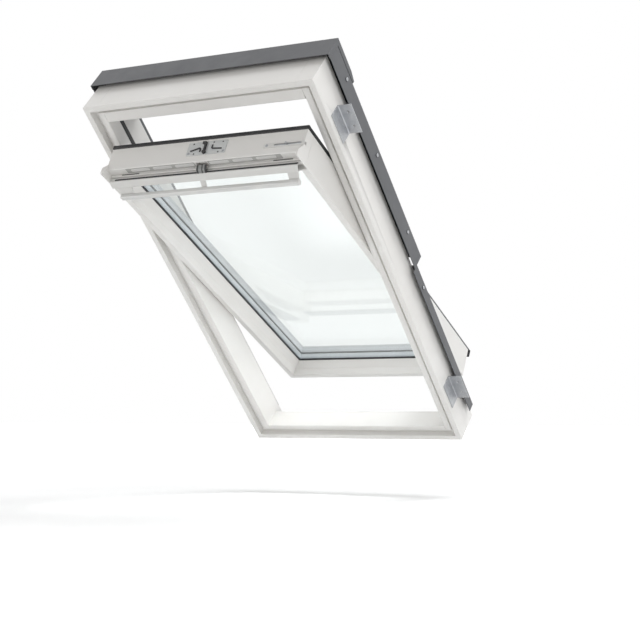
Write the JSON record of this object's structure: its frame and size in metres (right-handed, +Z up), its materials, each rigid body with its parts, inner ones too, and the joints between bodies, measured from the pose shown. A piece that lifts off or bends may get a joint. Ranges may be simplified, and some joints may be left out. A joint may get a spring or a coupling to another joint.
{
  "type": "roof skylight",
  "caption": "Centre-pivot roof window with its frame, turned open, with a control bar, ventilation flap, latch and barrel bolt.",
  "frame": {"origin": "middle of the window, in the plane where the mounting brackets' flanges lie on the roof battens", "axes": "+Z up, +X to the right seen from the room, +Y horizontally out through the roof; the roof slopes down towards +Y at 45 degrees"},
  "size_m": [0.734, 0.9984, 0.949],
  "materials": {
    "white_timber": "white lacquer on a timber core",
    "white_aluminium": "white powder coat",
    "white_plastic": "moulded, fine grain",
    "cover_aluminium": "dark grey lacquer on folded aluminium",
    "zinc_steel": "zinc plated",
    "black_rubber": "matte rubber",
    "pane_glass": "clear, polished",
    "spacer_metal": "blue-grey spacer bar",
    "black_plastic": "moulded",
    "black_steel": "black coated spring steel",
    "filter_foam": "open foam"
  },
  "bodies": {
    "frame": {"frame_head": "white_timber", "frame_sill": "white_timber", "frame_jamb_left": "white_timber", "frame_jamb_right": "white_timber", "frame_seal_left": "black_rubber", "frame_seal_right": "black_rubber", "hood_top": "cover_aluminium", "hood_clips": "zinc_steel", "cover_upper_left": "cover_aluminium", "cover_upper_right": "cover_aluminium", "cover_lower_left": "cover_aluminium", "cover_lower_right": "cover_aluminium", "cover_bottom": "cover_aluminium", "bracket_left_lower": "zinc_steel", "bracket_left_upper": "zinc_steel", "bracket_right_lower": "zinc_steel", "bracket_right_upper": "zinc_steel", "bracket_screws": "zinc_steel", "hinge_frame_left": "zinc_steel", "hinge_frame_right": "zinc_steel", "frame_hinge_screws": "zinc_steel", "keeper": "zinc_steel", "keeper_screws": "zinc_steel", "bolt_bushes": "zinc_steel"},
    "sash": {"sash_top_rail": "white_timber", "sash_bottom_rail": "white_timber", "sash_stile_left": "white_timber", "sash_stile_right": "white_timber", "glass_inner": "pane_glass", "glass_outer": "pane_glass", "glass_spacer": "spacer_metal", "glazing_gasket_inner": "black_rubber", "glazing_gasket_outer": "black_rubber", "setting_blocks": "black_rubber", "sash_cover_left": "cover_aluminium", "sash_cover_right": "cover_aluminium", "sash_cover_top": "cover_aluminium", "sash_cover_bottom": "cover_aluminium", "sash_gasket": "black_rubber", "lock_case": "zinc_steel", "lock_springs": "black_steel", "sash_top_screws": "zinc_steel", "bolt_guide": "zinc_steel", "hinge_sash_left": "zinc_steel", "hinge_sash_right": "zinc_steel", "sash_hinge_screws": "zinc_steel", "vent_comb": "white_plastic", "vent_filters": "filter_foam"},
    "flap": {"vent_flap": "white_aluminium", "flap_gasket": "black_rubber", "control_bar": "white_aluminium", "bar_caps": "white_plastic", "bar_arm_left": "white_aluminium", "bar_arm_middle": "white_aluminium", "bar_arm_right": "white_aluminium", "flap_link": "black_steel"},
    "latch": {"latch_lever": "black_plastic"},
    "bolt": {"barrel_bolt": "zinc_steel"}
  },
  "joints": [
    {"name": "sash_pivot", "type": "hinge", "parent": "frame", "child": "sash", "pos_m": [0, 0.03465, 0.03465], "axis": [1, 0, 0], "range_deg": [-17.35, 154.05]},
    {"name": "flap_hinge", "type": "hinge", "parent": "sash", "child": "flap", "pos_m": [0, -0.40366, 0.20219], "axis": [1, 0, 0], "range_deg": [-60, 0]},
    {"name": "latch_turn", "type": "hinge", "parent": "sash", "child": "latch", "pos_m": [0.004, -0.40998, 0.24614], "axis": [0, -0.8858, 0.4641], "range_deg": [0, 24]},
    {"name": "bolt_slide", "type": "slide", "parent": "sash", "child": "bolt", "axis": [1, 0, 0], "range_m": [0, 0.02]}
  ],
  "couplings": [
    {"joint": "latch_turn", "follows": "flap_hinge", "ratio": -0.4}
  ]
}
